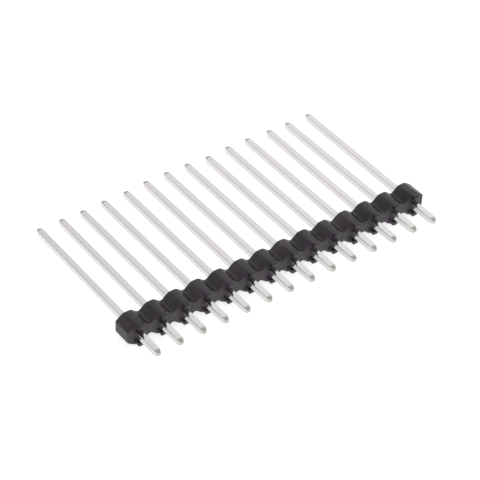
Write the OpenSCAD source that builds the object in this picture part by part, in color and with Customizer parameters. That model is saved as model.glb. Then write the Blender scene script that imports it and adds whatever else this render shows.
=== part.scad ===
// Single-row breakaway pin header, lying on its side.
//
// X runs along the row and Y along the posts, towards their long mating ends.
// The origin is the middle of the row, where the feet meet a circuit board:
// y = 0 is the board's surface, and the posts' centre lines lie in the plane z = 0.

/* [Row] */
// Number of posts, and of housing units
positions = 14; // [2:1:40]
// Distance from one post to the next
pitch = 2.54; // [2.4:0.01:5.08]

/* [Housing] */
// Height over the flats, across the row
body_h = 2.46; // [2:0.02:5]
// Thickness along the posts, without the feet
body_t = 2.05; // [1:0.05:10]
// Width of the flat on top of each unit, and below it
flat_w = 0.86; // [0.6:0.02:1.6]
// Width of the neck that joins two units
neck_w = 0.28; // [0.1:0.02:0.6]
// Height of that neck, which is where the strip is snapped
neck_h = 1.24; // [0.9:0.02:1.8]
// How far a snapped end stops short of half a pitch
end_loss = 0; // [0:0.01:0.05]

/* [Standoff feet] */
// Width of a foot, along the row
foot_w = 0.6; // [0.3:0.02:0.86]
// Height of a foot, inwards from the flat that it is flush with
foot_h = 0.44; // [0.2:0.02:0.6]
// How far the feet hold the housing off the board
foot_l = 0.45; // [0.1:0.05:1.5]

/* [Posts] */
// Side of the square post
post_w = 0.64; // [0.4:0.01:0.8]
// Length of the solder tail, from the board's surface to its tip
tail_l = 2.85; // [1:0.05:10]
// Length of the mating end, from the housing's back to its tip
mating_l = 15.5; // [2:0.05:30]
// Length of the taper at each tip
taper_l = 0.45; // [0.1:0.05:0.9]
// Side of the square left at the tip
tip_w = 0.4; // [0.1:0.02:0.4]

/* [Fit] */
// Gap on each side of a post in its hole: 0 is the press fit
hole_gap = 0; // [0:0.005:0.05]
// Size of the lead-in where a post is pushed into the housing's back
lead_in = 0.12; // [0.02:0.01:0.2]

/* [Hidden] */
back_y = foot_l + body_t;
hole_w = post_w + 2 * hole_gap;
end_x = positions * pitch / 2 - end_loss;
// Where a unit's slopes reach the necks beside it, from its own middle
neck_x = (pitch - neck_w) / 2;
// How far a foot's root and a cutter run past the face that they meet
overrun = 0.3;

function post_x(i) = (i - (positions + 1) / 2) * pitch;
function post_name(i) = str("post_", i < 10 ? "0" : "", i);

// Upper edge of the row, from left to right: each unit rises from its neck to its flat.
// An end unit has no neck on its outer side, where its slope runs to the snapped face.
upper_edge = [
    for (i = [1 : positions])
        each [
            [i == 1 ? -end_x : post_x(i) - neck_x, neck_h / 2],
            [post_x(i) - flat_w / 2, body_h / 2],
            [post_x(i) + flat_w / 2, body_h / 2],
            [i == positions ? end_x : post_x(i) + neck_x, neck_h / 2],
        ]
];

// The lower edge is the upper one turned over, which keeps the outline in one loop
lower_edge = [for (p = upper_edge) [-p.x, -p.y]];

// Bar along +Y whose four sides follow the same outline of [half width, y] points
module square_bar(outline, w) {
    other_half = [for (k = [len(outline) - 1 : -1 : 0]) [-outline[k].x, outline[k].y]];
    intersection_for (turn = [0, 90])
        rotate([0, turn, 0])
            translate([0, 0, -w / 2])
                linear_extrude(w)
                    polygon(concat(outline, other_half));
}

// Square hole for one post, widened where it opens in the housing's back
module post_hole() {
    hole = hole_w / 2;
    mouth = hole + lead_in + overrun;
    square_bar([
        [hole, foot_l - overrun],
        [hole, back_y - lead_in],
        [mouth, back_y + overrun],
    ], 2 * mouth);
}

// The row as the board sees it
module row_outline() {
    polygon(concat(upper_edge, lower_edge));
}

// The feet as the board sees them: two to each unit, flush with its flats
module feet_outline() {
    intersection() {
        row_outline();
        for (i = [1 : positions])
            for (side = [-1, 1])
                translate([post_x(i), side * (body_h - foot_h) / 2])
                    square([foot_w, foot_h], center = true);
    }
}

module housing() {
    color([0.07, 0.07, 0.08])
        difference() {
            rotate([90, 0, 0]) {
                translate([0, 0, -back_y])
                    linear_extrude(body_t) row_outline();
                translate([0, 0, -foot_l - overrun])
                    linear_extrude(foot_l + overrun) feet_outline();
            }
            for (i = [1 : positions])
                translate([post_x(i), 0, 0]) post_hole();
        }
}

module post(i) {
    color([0.8, 0.8, 0.79])
        translate([post_x(i), 0, 0])
            square_bar([
                [tip_w / 2, -tail_l],
                [post_w / 2, taper_l - tail_l],
                [post_w / 2, back_y + mating_l - taper_l],
                [tip_w / 2, back_y + mating_l],
            ], post_w);
}

housing();
for (i = [1 : positions])
    post(i);
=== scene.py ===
# %% [markdown]
# # A breakaway pin header
#
# The object is a strip of fourteen square metal posts pressed through a black moulded
# housing. It plugs into the holes of a circuit board on one side, and takes sockets on
# the other.
#
# The solid model gives each piece its true size and place. This script gives them
# their looks: soft moulded edges, drawn and plated metal, a studio and a camera.
# Only two shapes have to be made, because everything else on a header is a repeat.

# %% Load the solid model
import math

import bpy
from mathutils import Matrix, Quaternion, Vector


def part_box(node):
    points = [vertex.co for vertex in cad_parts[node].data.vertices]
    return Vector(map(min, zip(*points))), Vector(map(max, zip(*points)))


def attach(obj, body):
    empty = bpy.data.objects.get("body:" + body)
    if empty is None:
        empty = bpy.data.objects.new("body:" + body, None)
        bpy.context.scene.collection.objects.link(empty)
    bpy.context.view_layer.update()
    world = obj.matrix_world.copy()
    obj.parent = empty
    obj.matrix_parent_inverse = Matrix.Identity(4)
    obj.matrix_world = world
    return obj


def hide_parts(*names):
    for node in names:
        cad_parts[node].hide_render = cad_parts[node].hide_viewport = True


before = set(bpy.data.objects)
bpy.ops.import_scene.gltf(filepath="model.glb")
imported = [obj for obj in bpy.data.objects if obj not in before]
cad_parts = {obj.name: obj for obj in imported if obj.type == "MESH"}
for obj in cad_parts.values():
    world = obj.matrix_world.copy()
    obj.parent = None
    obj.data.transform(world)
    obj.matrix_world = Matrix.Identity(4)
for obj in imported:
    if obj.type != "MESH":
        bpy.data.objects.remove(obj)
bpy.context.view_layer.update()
scene = bpy.context.scene
print("nodes of the solid model:", len(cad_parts))

# %% [markdown]
# ## Sizes
#
# Blender works in metres, and a header is easier to think of in millimetres, so each
# size below is a number of millimetres times `MM`.
#
# Whatever a node's box shows is read from it. The visual model then follows the solid
# one if a size is changed there. The few sizes inside a piece, such as the width of a
# foot, are listed below.

# %% Sizes
MM = 0.001

post_nodes = sorted(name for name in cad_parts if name.startswith("post_"))
positions = len(post_nodes)
first_low, first_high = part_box(post_nodes[0])
last_low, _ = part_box(post_nodes[-1])
body_low, body_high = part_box("housing")

pitch = (last_low.x - first_low.x) / (positions - 1)
post_w = first_high.x - first_low.x
tail_tip, mating_tip = first_low.y, first_high.y
back = body_high.y
body_h = body_high.z - body_low.z
half_row = body_high.x

foot_l = 0.45 * MM
foot_w = 0.6 * MM
foot_h = 0.44 * MM
flat_w = 0.86 * MM
neck_w = 0.28 * MM
neck_h = 1.24 * MM
lead_in = 0.08 * MM
taper_l = 0.45 * MM
tip_w = 0.4 * MM
overrun = 0.3 * MM

print(f"{positions} posts of {post_w / MM:.2f} mm on a pitch of {pitch / MM:.2f} mm")
print(f"housing {2 * half_row / MM:.2f} x {body_h / MM:.2f} mm, its back at {back / MM:.2f} mm")

# %% [markdown]
# ## Wires in place of node links
#
# A node tree drawn by hand is quick to read, and one that is written line by line
# isn't. So two small classes do the writing.
#
# `Nodes` adds any node in one call: its type, its settings, and then the values or the
# wires for its sockets. A `Wire` is a socket that something comes out of. Arithmetic
# on a wire adds Math nodes, so a formula in the script looks like a formula.
# The same two classes write shader trees and Geometry Nodes trees.


# %% Nodes and wires
def find_socket(sockets, key):
    """A shown socket by its place or by its name."""
    shown = [socket for socket in sockets if socket.enabled]
    if isinstance(key, int):
        return shown[key]
    return next(socket for socket in shown if socket.name == key)


class Wire:
    """A node's output, which arithmetic extends with Math nodes."""

    def __init__(self, nodes, socket):
        self.nodes, self.socket = nodes, socket

    def __getitem__(self, name):
        return Wire(self.nodes, find_socket(self.socket.node.outputs, name))

    def maths(self, operation, *others):
        """This value, and any others, through one Math node."""
        return self.nodes.maths(operation, self, *others)

    def __add__(self, other):
        return self.maths("ADD", other)

    def __sub__(self, other):
        return self.maths("SUBTRACT", other)

    def __rsub__(self, other):
        return self.nodes.maths("SUBTRACT", other, self)

    def __mul__(self, other):
        return self.maths("MULTIPLY", other)

    def __truediv__(self, other):
        return self.maths("DIVIDE", other)

    def __gt__(self, other):
        return self.maths("GREATER_THAN", other)

    def __lt__(self, other):
        return self.maths("LESS_THAN", other)

    def __abs__(self):
        return self.maths("ABSOLUTE")

    __radd__ = __add__
    __rmul__ = __mul__


class Nodes:
    """Adds nodes to one tree."""

    def __init__(self, tree):
        self.tree = tree

    def add(self, kind, settings=None, inputs=None):
        """A new node's first output. A list of wires goes into one socket that takes several."""
        node = self.tree.nodes.new(kind)
        for name, value in (settings or {}).items():
            setattr(node, name, value)
        for key, value in (inputs or {}).items():
            socket = find_socket(node.inputs, key)
            wires = value if isinstance(value, list) else [value]
            for wire in wires:
                if isinstance(wire, Wire):
                    self.tree.links.new(wire.socket, socket)
                else:
                    socket.default_value = wire
        shown = [socket for socket in node.outputs if socket.enabled]
        return Wire(self, shown[0]) if shown else node

    def maths(self, operation, *values):
        return self.add("ShaderNodeMath", {"operation": operation}, dict(enumerate(values)))

    def vector(self, x=0.0, y=0.0, z=0.0):
        return self.add("ShaderNodeCombineXYZ", {}, {"X": x, "Y": y, "Z": z})

    def parts(self, vector):
        split = self.add("ShaderNodeSeparateXYZ", {}, {"Vector": vector})
        return split["X"], split["Y"], split["Z"]


print("ready to write trees with", Nodes.__name__, "and", Wire.__name__)

# %% [markdown]
# ## From a tree of nodes to a plain mesh
#
# A Geometry Nodes tree is a recipe with named sizes. `geometry_tree` starts one, and
# `grow` runs it once and keeps the result as an ordinary mesh, because a finished
# piece should need no recipe to be shown, moved or printed.
#
# A modifier stores each size under its socket's identifier. The name is only a label,
# and two sockets could share it.


# %% Geometry trees
SOCKET_TYPES = {float: "NodeSocketFloat", int: "NodeSocketInt"}


def geometry_tree(name, sizes):
    """A new tree with an input for each size and one for the material."""
    tree = bpy.data.node_groups.new(name, "GeometryNodeTree")
    tree.interface.new_socket("Geometry", in_out="OUTPUT", socket_type="NodeSocketGeometry")
    for label, value in sizes.items():
        tree.interface.new_socket(label, in_out="INPUT", socket_type=SOCKET_TYPES[type(value)])
    tree.interface.new_socket("Material", in_out="INPUT", socket_type="NodeSocketMaterial")
    nodes = Nodes(tree)
    return nodes, nodes.add("NodeGroupInput")


def end_tree(nodes, given, geometry):
    """Realizes the tree's instances, gives them the material and ends the tree."""
    real = nodes.add("GeometryNodeRealizeInstances", {}, {"Geometry": geometry})
    painted = nodes.add(
        "GeometryNodeSetMaterial", {}, {"Geometry": real, "Material": given["Material"]}
    )
    nodes.add("NodeGroupOutput", {"is_active_output": True}, {"Geometry": painted})


def grow(name, nodes, sizes, material):
    """A new object that holds what the tree makes of these sizes, as a plain mesh."""
    host = bpy.data.objects.new(name, bpy.data.meshes.new(name))
    scene.collection.objects.link(host)
    recipe = host.modifiers.new("Recipe", "NODES")
    recipe.node_group = nodes.tree
    values = {**sizes, "Material": material}
    for item in nodes.tree.interface.items_tree:
        if item.in_out == "INPUT":
            recipe[item.identifier] = values[item.name]
    depsgraph = bpy.context.evaluated_depsgraph_get()
    mesh = bpy.data.meshes.new_from_object(
        host.evaluated_get(depsgraph), preserve_all_data_layers=True, depsgraph=depsgraph
    )
    host.modifiers.remove(recipe)
    host.data = mesh
    print(f"{name}: {len(mesh.vertices)} vertices, {len(mesh.polygons)} faces")
    return host


# %% [markdown]
# ## Two shapes that both pieces need
#
# A post is a square bar that tapers at its ends, and its hole is a square bar that
# widens at its mouth. Both are one outline swept along a line whose points each have
# their own width, so one function makes them.
#
# The wire that posts are cut from is drawn through a square die. That leaves its corners
# soft, and its sides a little crowned next to them. A superellipse describes both in one
# formula: a circle whose coordinates are raised to a small power.
#
# The places along the bar come from an Index Switch: it looks up the first number for
# the first point, the second for the second, and so on.


# %% Lookups and square bars
SQUARENESS = 14
SECTION_POINTS = 32


def lookup(nodes, index, values):
    """The value at that index, from a list of numbers or wires."""
    switch = nodes.tree.nodes.new("GeometryNodeIndexSwitch")
    switch.data_type = "FLOAT"
    while len(switch.index_switch_items) < len(values):
        switch.index_switch_items.new()
    nodes.tree.links.new(index.socket, switch.inputs["Index"])
    for place, value in enumerate(values):
        socket = switch.inputs[place + 1]
        if isinstance(value, Wire):
            nodes.tree.links.new(value.socket, socket)
        else:
            socket.default_value = value
    return Wire(nodes, switch.outputs[0])


def square_section(nodes):
    """A closed curve in the XY plane: a square of side 1 with soft corners."""
    circle = nodes.add(
        "GeometryNodeCurvePrimitiveCircle",
        {"mode": "RADIUS"},
        {"Resolution": SECTION_POINTS, "Radius": 1.0},
    )
    x, y, _ = nodes.parts(nodes.add("GeometryNodeInputPosition"))
    sides = [c.maths("SIGN") * abs(c).maths("POWER", 2 / SQUARENESS) / 2 for c in (x, y)]
    return nodes.add(
        "GeometryNodeSetPosition", {}, {"Geometry": circle, "Position": nodes.vector(*sides)}
    )


def square_bar(nodes, stations):
    """A closed square bar along Y, through stations of (place, width)."""
    index = nodes.add("GeometryNodeInputIndex")
    places = lookup(nodes, index, [y for y, _ in stations])
    widths = lookup(nodes, index, [w for _, w in stations])
    line = nodes.add("GeometryNodeMeshLine", {}, {"Count": len(stations)})
    spread = nodes.add(
        "GeometryNodeSetPosition", {}, {"Geometry": line, "Position": nodes.vector(y=places)}
    )
    path = nodes.add("GeometryNodeMeshToCurve", {}, {"Mesh": spread})
    return nodes.add(
        "GeometryNodeCurveToMesh",
        {},
        {
            "Curve": path,
            "Profile Curve": square_section(nodes),
            "Scale": widths,
            "Fill Caps": True,
        },
    )


# %% [markdown]
# ## Black moulded plastic
#
# The housing is injection moulded from a glass-filled thermoplastic. The steel mould
# was spark eroded, so the plastic has a fine, even grain and a satin gloss. It is dyed
# all through, so even a break is dark. Only the skin of such a break, where the strip
# was snapped off its neighbour, is duller and a little paler.
#
# The dye isn't quite even. It follows the melt into each unit, which leaves faint
# clouds. The colour is also painted lighter towards the back of the row and darker at
# the front: painted light from behind, and painted shade on the front faces.
#
# Object coordinates are metres on this piece. They are turned into millimetres first,
# so that a noise with a scale of 10 has about ten bumps to a millimetre. The depths
# that a material compares them with are plain millimetres too.


# %% Material of the housing
# The dye's own colour is real. Its change from darker at the front to lighter at the back is
# painted shade and painted light.
DYE_AND_PAINTED_SHADE_AT_FRONT = (0.025, 0.016, 0.026, 1.0)
DYE_AND_PAINTED_LIGHT_AT_BACK = (0.046, 0.037, 0.043, 1.0)
BROKEN_PLASTIC = (0.07, 0.065, 0.07, 1.0)
BREAK_DEPTH = 0.045
PLASTIC_IOR = 1.52
DYE_CLOUDS = 2.2
DYE_FLOW = 1.1
GRAIN_HEIGHT = 0.002 * MM
FLOW_HEIGHT = 0.012 * MM


def new_material(name):
    material = bpy.data.materials.new(name)
    material.use_nodes = True
    material.node_tree.nodes.clear()
    return material, Nodes(material.node_tree)


def millimetres(nodes, stretch=(1.0, 1.0, 1.0)):
    """Object coordinates in millimetres, each axis times its stretch."""
    place = nodes.add("ShaderNodeTexCoord")["Object"]
    return nodes.add(
        "ShaderNodeMapping",
        {"vector_type": "POINT"},
        {"Vector": place, "Scale": Vector(stretch) / MM},
    )


def noise_of(nodes, vector, scale, detail=2.0):
    """A noise from 0 to 1."""
    return nodes.add(
        "ShaderNodeTexNoise", {}, {"Vector": vector, "Scale": scale, "Detail": detail}
    )


def blend_colours(nodes, share, first, second):
    return nodes.add(
        "ShaderNodeMix", {"data_type": "RGBA"}, {"Factor": share, "A": first, "B": second}
    )


def moulded_black():
    material, nodes = new_material("moulded_black")
    place = millimetres(nodes)
    grain = noise_of(nodes, place, 22.0, 3.0)
    flow = noise_of(nodes, place, 2.2, 3.0)
    clouds = noise_of(nodes, place, 0.4, 2.0)
    along_row, from_board, _ = nodes.parts(place)
    snapped = abs(along_row) > (half_row / MM - BREAK_DEPTH)
    # Painted light and shade: the colour goes from darker at the front to lighter at the back.
    painted_light_to_back = nodes.add(
        "ShaderNodeMapRange",
        {},
        {"Value": from_board, "From Min": foot_l / MM, "From Max": back / MM},
    )
    dye_and_painted_light = blend_colours(nodes, painted_light_to_back, DYE_AND_PAINTED_SHADE_AT_FRONT, DYE_AND_PAINTED_LIGHT_AT_BACK)
    strength = 1 + DYE_CLOUDS * (clouds - 0.5) + DYE_FLOW * (flow - 0.5)
    clouded_dye_and_painted_light = nodes.add(
        "ShaderNodeVectorMath", {"operation": "SCALE"}, {"Vector": dye_and_painted_light, "Scale": strength}
    )
    colour = blend_colours(nodes, snapped, clouded_dye_and_painted_light, BROKEN_PLASTIC)
    height = GRAIN_HEIGHT * grain + FLOW_HEIGHT * flow
    relief = nodes.add("ShaderNodeBump", {}, {"Strength": 1.0, "Distance": 1.0, "Height": height})
    shader = nodes.add(
        "ShaderNodeBsdfPrincipled",
        {},
        {
            "Base Color": colour,
            "Roughness": 0.32 + 0.06 * grain + 0.3 * snapped,
            "IOR": PLASTIC_IOR,
            "Normal": relief,
        },
    )
    nodes.add("ShaderNodeOutputMaterial", {}, {"Surface": shader})
    return material


housing_black = moulded_black()
print("made", housing_black.name)

# %% [markdown]
# ## Bright tin plate
#
# The posts are drawn phosphor bronze wire with a thin bright coat of tin. Drawing
# leaves faint lines along the wire, so the noise for them is squeezed along the post.
# The wire was plated before it was cut. Each cut end therefore shows bronze through a
# smear of tin, and the coined taper next to it is a little duller than the sides.
#
# A post's distance to its nearer tip can't be had from coordinates alone, because the
# posts aren't all cut to the same length. The tree that makes them stores it as an
# attribute on the mesh.


# %% Material of the posts
WARM_TIN = (0.73, 0.67, 0.66, 1.0)
COOL_TIN = (0.64, 0.68, 0.68, 1.0)
WORKED_TIN = (0.60, 0.59, 0.56, 1.0)
CUT_BRONZE = (0.49, 0.49, 0.44, 1.0)
CUT_DEPTH = 0.02
COINED_REACH = 0.5
LINE_HEIGHT = 0.001 * MM


def bright_tin():
    material, nodes = new_material("bright_tin")
    drawn = noise_of(nodes, millimetres(nodes, (30.0, 0.35, 30.0)), 1.0, 2.0)
    cloud = noise_of(nodes, millimetres(nodes), 0.25, 4.0)
    to_tip = nodes.add("ShaderNodeAttribute", {"attribute_name": "to_tip"})["Fac"]
    cut_end = to_tip < CUT_DEPTH
    coined = nodes.add(
        "ShaderNodeMapRange",
        {"interpolation_type": "SMOOTHSTEP"},
        {"Value": to_tip, "From Max": COINED_REACH, "To Min": 1.0, "To Max": 0.0},
    )
    tin = blend_colours(nodes, cloud, WARM_TIN, COOL_TIN)
    worked = blend_colours(nodes, coined, tin, WORKED_TIN)
    colour = blend_colours(nodes, cut_end, worked, CUT_BRONZE)
    relief = nodes.add(
        "ShaderNodeBump", {}, {"Strength": 0.3, "Distance": LINE_HEIGHT, "Height": drawn}
    )
    shader = nodes.add(
        "ShaderNodeBsdfPrincipled",
        {},
        {
            "Base Color": colour,
            "Metallic": 1.0,
            "Roughness": 0.1 + 0.08 * drawn + 0.12 * coined,
            "Normal": relief,
        },
    )
    nodes.add("ShaderNodeOutputMaterial", {}, {"Surface": shader})
    return material


post_tin = bright_tin()
print("made", post_tin.name)

# %% [markdown]
# ## The housing
#
# One unit of the housing is an octagon with a neck on each side, and the row is that
# outline fourteen times over. It could be one unit repeated and welded to the next,
# but the welds would have to be found and cleaned. A box that is cut across into
# stations is cleaner: it is closed from the start, and each ring of points only has to
# be moved to its own place and height.
#
# A moulded unit has no sharp corner along its length, so each corner is a short curve
# of three stations. Where the strip was snapped there is no neck, and the outer slope of
# the end unit runs straight to the broken face.
#
# The bar is made as deep as the feet reach. What lies between the feet is then cut away
# together with the holes, so that the feet are flush with the flats that they stand on.
# The cutters have round edges, and those leave the small fillets at the feet's roots.
# Last, every edge at which the surface turns outwards by more than 0.45 radians, about
# 26 degrees, is marked as a rim that is still to be rounded.


# %% Housing tree
ROUND_R = 0.11 * MM
ROUND_STEPS = 3
RIM_SHARE = 0.5
LESS_AT_HOLES = 0.6
CORNER_ANGLE = 0.45
WELD = 0.002 * MM
HAIR = 0.005 * MM
CUTTER_REACH = 1.5
CURVE_STEPS = 2
FILLET_STEPS = 4
UNIT_RINGS = 4 * (CURVE_STEPS + 1)
housing_sizes = {
    "Positions": positions,
    "Pitch": pitch,
    "Half row": half_row,
    "Front": foot_l,
    "Back": back,
    "Body height": body_h,
    "Flat width": flat_w,
    "Neck width": neck_w,
    "Neck height": neck_h,
    "Flat rounding": 0.23 * MM,
    "Neck rounding": 0.12 * MM,
    "Foot width": foot_w,
    "Foot height": foot_h,
    "Foot fillet": 0.08 * MM,
    "Hole width": post_w,
    "Lead-in": lead_in,
}


def row_points(nodes, given, count, y=0.0):
    """That many points, a pitch apart, about the middle of the row."""
    start = (1 - count) * given["Pitch"] / 2
    return nodes.add(
        "GeometryNodeMeshLine",
        {},
        {
            "Count": count,
            "Start Location": nodes.vector(start, y),
            "Offset": nodes.vector(x=given["Pitch"]),
        },
    )


def outline_bar(nodes, given):
    """The row before anything is cut from it: a box whose rings are moved to the outline."""
    rings = UNIT_RINGS * given["Positions"] - 2 * CURVE_STEPS
    box = nodes.add(
        "GeometryNodeMeshCube",
        {},
        {"Size": nodes.vector(rings - 1, given["Back"], 1.0), "Vertices X": rings},
    )
    x, y, z = nodes.parts(nodes.add("GeometryNodeInputPosition"))
    ring = x + (rings - 1) / 2 + CURVE_STEPS
    unit = ((ring + 0.5) / UNIT_RINGS).maths("FLOOR")
    middle = (unit - (given["Positions"] - 1) / 2) * given["Pitch"]
    ring_from_middle = ring - UNIT_RINGS * unit - (UNIT_RINGS - 1) / 2
    side = ring_from_middle.maths("SIGN")
    station = abs(ring_from_middle) - 0.5
    on_neck = station > CURVE_STEPS + 0.5
    share = (station - (CURVE_STEPS + 1) * on_neck) / CURVE_STEPS

    snapped = side * middle > given["Half row"] - given["Pitch"]
    neck_x = (given["Pitch"] - given["Neck width"]) / 2
    slope_end = (1 - snapped) * neck_x + snapped * (given["Half row"] - side * middle)
    flat_x = given["Flat width"] / 2
    run = slope_end - flat_x
    fall = (given["Body height"] - given["Neck height"]) / 2
    slope = (run * run + fall * fall).maths("SQRT")
    early, late = (1 - share) * (1 - share), share * share
    rounding = given["Flat rounding"]
    fillet = given["Neck rounding"] * (1 - snapped)
    flat_place = flat_x + rounding * (late * run / slope - early)
    flat_height = given["Body height"] - 2 * rounding * late * fall / slope
    neck_place = slope_end + fillet * (late - early * run / slope)
    neck_height = given["Neck height"] + 2 * fillet * early * fall / slope

    across = middle + side * (flat_place + on_neck * (neck_place - flat_place))
    height = flat_height + on_neck * (neck_height - flat_height)
    moved = nodes.vector(across, y + given["Back"] / 2, z * height)
    return nodes.add("GeometryNodeSetPosition", {}, {"Geometry": box, "Position": moved})


def rounded_block(nodes, width, height, radius, start, end):
    """A block from start to end, with its four long edges round."""
    path = nodes.add("GeometryNodeCurvePrimitiveLine", {}, {"Start": start, "End": end})
    section = nodes.add(
        "GeometryNodeCurvePrimitiveQuadrilateral", {}, {"Width": width, "Height": height}
    )
    soft = nodes.add(
        "GeometryNodeFilletCurve",
        {"mode": "POLY"},
        {"Curve": section, "Radius": radius, "Count": FILLET_STEPS},
    )
    return nodes.add(
        "GeometryNodeCurveToMesh", {}, {"Curve": path, "Profile Curve": soft, "Fill Caps": True}
    )


def between_feet(nodes, given):
    """Two cutters: one for the row's length between the feet, one for between two units."""
    depth = given["Front"] + overrun
    middle = given["Front"] - depth / 2
    radius = given["Foot fillet"]
    past_end = CUTTER_REACH * given["Half row"]
    row = rounded_block(
        nodes,
        depth,
        given["Body height"] - 2 * given["Foot height"],
        radius,
        nodes.vector(0 - past_end, middle),
        nodes.vector(past_end, middle),
    )
    unit = rounded_block(
        nodes,
        given["Pitch"] - given["Foot width"],
        depth,
        radius,
        nodes.vector(0.0, middle, 0 - given["Body height"]),
        nodes.vector(0.0, middle, given["Body height"]),
    )
    return row, unit


def post_punch(nodes, given):
    """What the hole of one post takes away, from in front of the body to behind it."""
    hole = given["Hole width"]
    return square_bar(
        nodes,
        [
            (given["Front"] - overrun, hole),
            (given["Back"] - given["Lead-in"], hole),
            (given["Back"] + overrun, hole + 2 * (given["Lead-in"] + overrun)),
        ],
    )


def at_points(nodes, points, piece):
    return nodes.add("GeometryNodeInstanceOnPoints", {}, {"Points": points, "Instance": piece})


def edge_softness(nodes, given):
    """For each edge, its share of the largest rounding."""
    angle = nodes.add("GeometryNodeInputMeshEdgeAngle")["Signed Angle"]
    x, _, z = nodes.parts(nodes.add("GeometryNodeInputPosition"))
    from_first = x + (given["Positions"] - 1) * given["Pitch"] / 2
    from_post = from_first.maths("PINGPONG", given["Pitch"] / 2)
    reach = given["Hole width"] / 2 + given["Lead-in"] + HAIR
    at_hole = (from_post < reach) * (abs(z) < reach)
    at_end = abs(x) > given["Half row"] - 2 * HAIR
    outward = RIM_SHARE * (angle > CORNER_ANGLE)
    return outward * (1 - LESS_AT_HOLES * at_hole) * (1 + at_end)


def housing_tree():
    nodes, given = geometry_tree("Header housing", housing_sizes)
    units = row_points(nodes, given, given["Positions"])
    necks = row_points(nodes, given, given["Positions"] + 1)
    row_cutter, unit_cutter = between_feet(nodes, given)
    cutters = [
        row_cutter,
        at_points(nodes, necks, unit_cutter),
        at_points(nodes, units, post_punch(nodes, given)),
    ]
    moulded = nodes.add(
        "GeometryNodeMeshBoolean",
        {"operation": "DIFFERENCE", "solver": "EXACT"},
        {"Mesh 1": outline_bar(nodes, given), "Mesh 2": cutters},
    )
    clean = nodes.add(
        "GeometryNodeMergeByDistance", {}, {"Geometry": moulded, "Distance": WELD}
    )
    marked = nodes.add(
        "GeometryNodeStoreNamedAttribute",
        {"data_type": "FLOAT", "domain": "EDGE"},
        {"Geometry": clean, "Name": "bevel_weight_edge", "Value": edge_softness(nodes, given)},
    )
    end_tree(nodes, given, marked)
    return nodes


housing = grow("moulded_housing", housing_tree(), housing_sizes, housing_black)

# %% [markdown]
# ### Rounded edges
#
# The rims of the faces are soft too, but only by a twentieth of a millimetre. The two
# snapped ends are rounder, because plastic crumbles along a break, and the mouths of the
# holes are almost sharp. A fillet in the node tree would need each corner's outline, and
# a bevel finds the edges by itself. The tree has written every edge's share of the
# rounding on the mesh, and the Bevel modifier reads it as a weight.
#
# A bevelled face should still look flat in its middle. Weighted normals let the larger
# faces decide how the light falls on the small ones beside them.


# %% Round the housing
HOUSING_FLATNESS = 60
POST_FLATNESS = 100


def round_edges(piece, width, steps):
    bevel = piece.modifiers.new("Rounded edges", "BEVEL")
    bevel.limit_method = "WEIGHT"
    bevel.width = width
    bevel.segments = steps
    bevel.use_clamp_overlap = False
    bevel.harden_normals = False


def keep_faces_flat(piece, weight):
    """Smooth shading in which a face counts for more the larger it is."""
    smooth = piece.modifiers.new("Flat faces", "WEIGHTED_NORMAL")
    smooth.keep_sharp = True
    smooth.weight = weight
    for face in piece.data.polygons:
        face.use_smooth = True


round_edges(housing, ROUND_R, ROUND_STEPS)
keep_faces_flat(housing, HOUSING_FLATNESS)
print("rounding up to", ROUND_R / MM, "mm")

# %% [markdown]
# ## The posts
#
# The fourteen posts are one square bar, instanced along the row. Two things keep them
# from looking like copies. Each is cut from the wire to its own length, within 0.15 mm
# either way, and no press sets a post in perfectly straight. Both come from a random
# value with a fixed seed, so the strip is the same each time. The seeds are simply 1
# and 2: the posts vary about as much as real ones do, but which is long is left to chance.


# %% Post tree
NOSE_R = 0.04 * MM
NOSE_STEPS = 3
TAPER_STEPS = 8
SWELL = 1.3
LENGTH_SCATTER = 0.15 * MM
LEAN = math.radians(0.3)
LENGTH_SEED = 1
LEAN_SEED = 2
post_sizes = {
    "Positions": positions,
    "Pitch": pitch,
    "Post width": post_w,
    "Tail tip": tail_tip,
    "Mating tip": mating_tip,
    "Grip": (foot_l + back) / 2,
    "Taper length": taper_l,
    "Tip width": tip_w,
    "Length scatter": LENGTH_SCATTER,
    "Lean": LEAN,
    "Length seed": LENGTH_SEED,
    "Lean seed": LEAN_SEED,
}


def tip_stations(given):
    """(distance from the tip, width) along one end, from the cut to the full width."""
    tip, full, taper = given["Tip width"], given["Post width"], given["Taper length"]
    turns = [step / NOSE_STEPS * math.pi / 2 for step in range(NOSE_STEPS)]
    nose = [
        (NOSE_R * (1 - math.cos(turn)), tip - 2 * NOSE_R * (1 - math.sin(turn))) for turn in turns
    ]
    shares = [step / TAPER_STEPS for step in range(TAPER_STEPS + 1)]
    return nose + [
        (NOSE_R + (taper - NOSE_R) * share, tip + (full - tip) * (1 - (1 - share) ** SWELL))
        for share in shares
    ]


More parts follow.
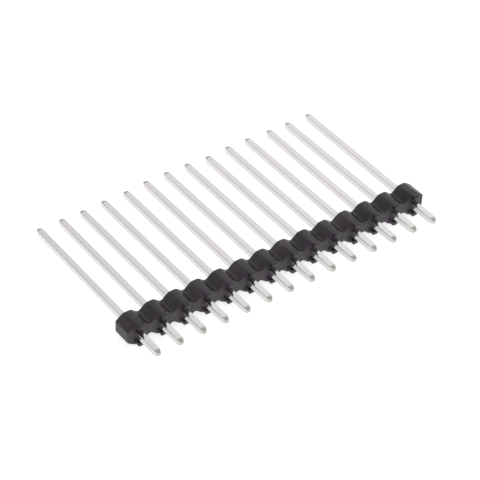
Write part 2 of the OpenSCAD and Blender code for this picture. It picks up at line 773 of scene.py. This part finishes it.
def post_tree():
    nodes, given = geometry_tree("Header posts", post_sizes)
    ends = tip_stations(given)
    tail = [(given["Tail tip"] - given["Grip"] + distance, width) for distance, width in ends]
    mating = [(given["Mating tip"] - given["Grip"] - distance, width) for distance, width in ends]
    post = square_bar(nodes, tail + mating[::-1])
    lean = nodes.add(
        "FunctionNodeRandomValue",
        {"data_type": "FLOAT_VECTOR"},
        {
            "Min": nodes.vector(0 - given["Lean"], 0.0, 0 - given["Lean"]),
            "Max": nodes.vector(given["Lean"], 0.0, given["Lean"]),
            "Seed": given["Lean seed"],
        },
    )
    points = row_points(nodes, given, given["Positions"], given["Grip"])
    copies = nodes.add(
        "GeometryNodeInstanceOnPoints", {}, {"Points": points, "Instance": post, "Rotation": lean}
    )
    real = nodes.add("GeometryNodeRealizeInstances", {}, {"Geometry": copies})
    x, y, z = nodes.parts(nodes.add("GeometryNodeInputPosition"))
    number = (x / given["Pitch"] + (given["Positions"] - 1) / 2).maths("ROUND")
    longer = nodes.add(
        "FunctionNodeRandomValue",
        {"data_type": "FLOAT"},
        {
            "Min": 0 - given["Length scatter"],
            "Max": given["Length scatter"],
            "ID": number,
            "Seed": given["Length seed"],
        },
    )
    from_tail = y - given["Tail tip"]
    from_mating = given["Mating tip"] - y
    to_tip = from_tail.maths("MINIMUM", from_mating)
    marked = nodes.add(
        "GeometryNodeStoreNamedAttribute",
        {"data_type": "FLOAT", "domain": "POINT"},
        {"Geometry": real, "Name": "to_tip", "Value": to_tip / MM},
    )
    cut = nodes.add(
        "GeometryNodeSetPosition",
        {},
        {"Geometry": marked, "Offset": nodes.vector(y=longer * (from_mating < from_tail))},
    )
    end_tree(nodes, given, cut)
    return nodes


posts = grow("plated_posts", post_tree(), post_sizes, post_tin)
keep_faces_flat(posts, POST_FLATNESS)

# %% [markdown]
# ## The studio
#
# Small parts are shot on a sheet of white acrylic that is lit from below, which
# swallows their shadows. A large soft box behind and above gives the metal something
# bright to mirror, and the darker walls of the room draw its edges. The lamp sits behind
# the middle of the box's cloth, so the box fades towards its rim and its highlights have
# no hard border.


# %% Floor and light
WHITE = (1.0, 1.0, 1.0, 1.0)
FLOOR_GREY = (0.7, 0.7, 0.7, 1.0)
FLOOR_SIZE = 3.0
FLOOR_GLOW = 0.75


def studio_floor():
    floor_mesh = bpy.data.meshes.new("studio_floor")
    half = FLOOR_SIZE / 2
    height = body_low.z
    corners = [(-half, -half), (half, -half), (half, half), (-half, half)]
    floor_mesh.from_pydata([(x, y, height) for x, y in corners], [], [(0, 1, 2, 3)])
    floor = bpy.data.objects.new("studio_floor", floor_mesh)
    scene.collection.objects.link(floor)
    material, nodes = new_material("white_acrylic")
    shader = nodes.add(
        "ShaderNodeBsdfPrincipled",
        {},
        {
            "Base Color": FLOOR_GREY,
            "Roughness": 0.6,
            "Emission Color": WHITE,
            "Emission Strength": FLOOR_GLOW,
        },
    )
    nodes.add("ShaderNodeOutputMaterial", {}, {"Surface": shader})
    floor_mesh.materials.append(material)
    return floor


def soft_box(name, direction, distance, size, radiance):
    """A square light that faces the origin, this bright in its middle and dim at its rim."""
    lamp = bpy.data.lights.new(name, "AREA")
    lamp.shape = "SQUARE"
    lamp.size = size
    lamp.energy = radiance * math.pi * size * size
    lamp.use_nodes = True
    lamp.node_tree.nodes.clear()
    nodes = Nodes(lamp.node_tree)
    across, up, _ = nodes.parts(nodes.add("ShaderNodeNewGeometry")["Parametric"])
    off_middle = (across - 0.5) * (across - 0.5) + (up - 0.5) * (up - 0.5)
    fall = (1.0 - 4.0 * off_middle).maths("MAXIMUM", 0.0)
    glow = nodes.add("ShaderNodeEmission", {}, {"Strength": fall})
    nodes.add("ShaderNodeOutputLight", {}, {"Surface": glow})
    box = bpy.data.objects.new(name, lamp)
    box.location = Vector(direction).normalized() * distance
    box.rotation_mode = "QUATERNION"
    box.rotation_quaternion = Vector(direction).to_track_quat("Z", "Y")
    scene.collection.objects.link(box)
    return box


def room(brightness):
    world = bpy.data.worlds.new("room")
    world.use_nodes = True
    walls = world.node_tree.nodes["Background"]
    walls.inputs["Color"].default_value = WHITE
    walls.inputs["Strength"].default_value = brightness
    scene.world = world


studio_floor()
room(brightness=0.55)
soft_box("back_box", direction=(0.60, 0.52, 0.61), distance=0.6, size=0.62, radiance=0.56)

# %% [markdown]
# ## The camera
#
# A long lens from two hand-widths away keeps the posts close to parallel. The camera
# looks down on the strip from its left and from the side of the solder tails, and it
# is rolled a little so that the row climbs across the picture.


# %% Camera
AIM = Vector((-1.06, 5.75, 0.0)) * MM
CAMERA_DISTANCE = 184.7 * MM
CAMERA_AZIMUTH = math.radians(-38.22)
CAMERA_ELEVATION = math.radians(40.89)
CAMERA_ROLL = math.radians(2.66)
LENS = 142.6


def aimed_camera():
    camera = bpy.data.objects.new("camera", bpy.data.cameras.new("camera"))
    camera.data.lens = LENS
    camera.data.clip_start = 0.01
    camera.data.clip_end = 5.0
    back_to_camera = Vector(
        (
            math.sin(CAMERA_AZIMUTH) * math.cos(CAMERA_ELEVATION),
            -math.cos(CAMERA_AZIMUTH) * math.cos(CAMERA_ELEVATION),
            math.sin(CAMERA_ELEVATION),
        )
    )
    camera.location = AIM + back_to_camera * CAMERA_DISTANCE
    level = (-back_to_camera).to_track_quat("-Z", "Y")
    camera.rotation_mode = "QUATERNION"
    camera.rotation_quaternion = level @ Quaternion((0.0, 0.0, 1.0), CAMERA_ROLL)
    scene.collection.objects.link(camera)
    scene.camera = camera
    return camera


aimed_camera()
print("camera", [round(c / MM, 1) for c in scene.camera.location], "mm")

# %% [markdown]
# ## Fasten the looks to the solid model
#
# Each finished piece rides on the body that its solids belong to, and stands for those
# solids, which are hidden.

# %% Fasten the pieces
scene.view_settings.view_transform = "Standard"
for piece, slot, stood_for in (
    (housing, "housing_plastic", ["housing"]),
    (posts, "post_plating", post_nodes),
):
    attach(piece, "root")
    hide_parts(*stood_for)
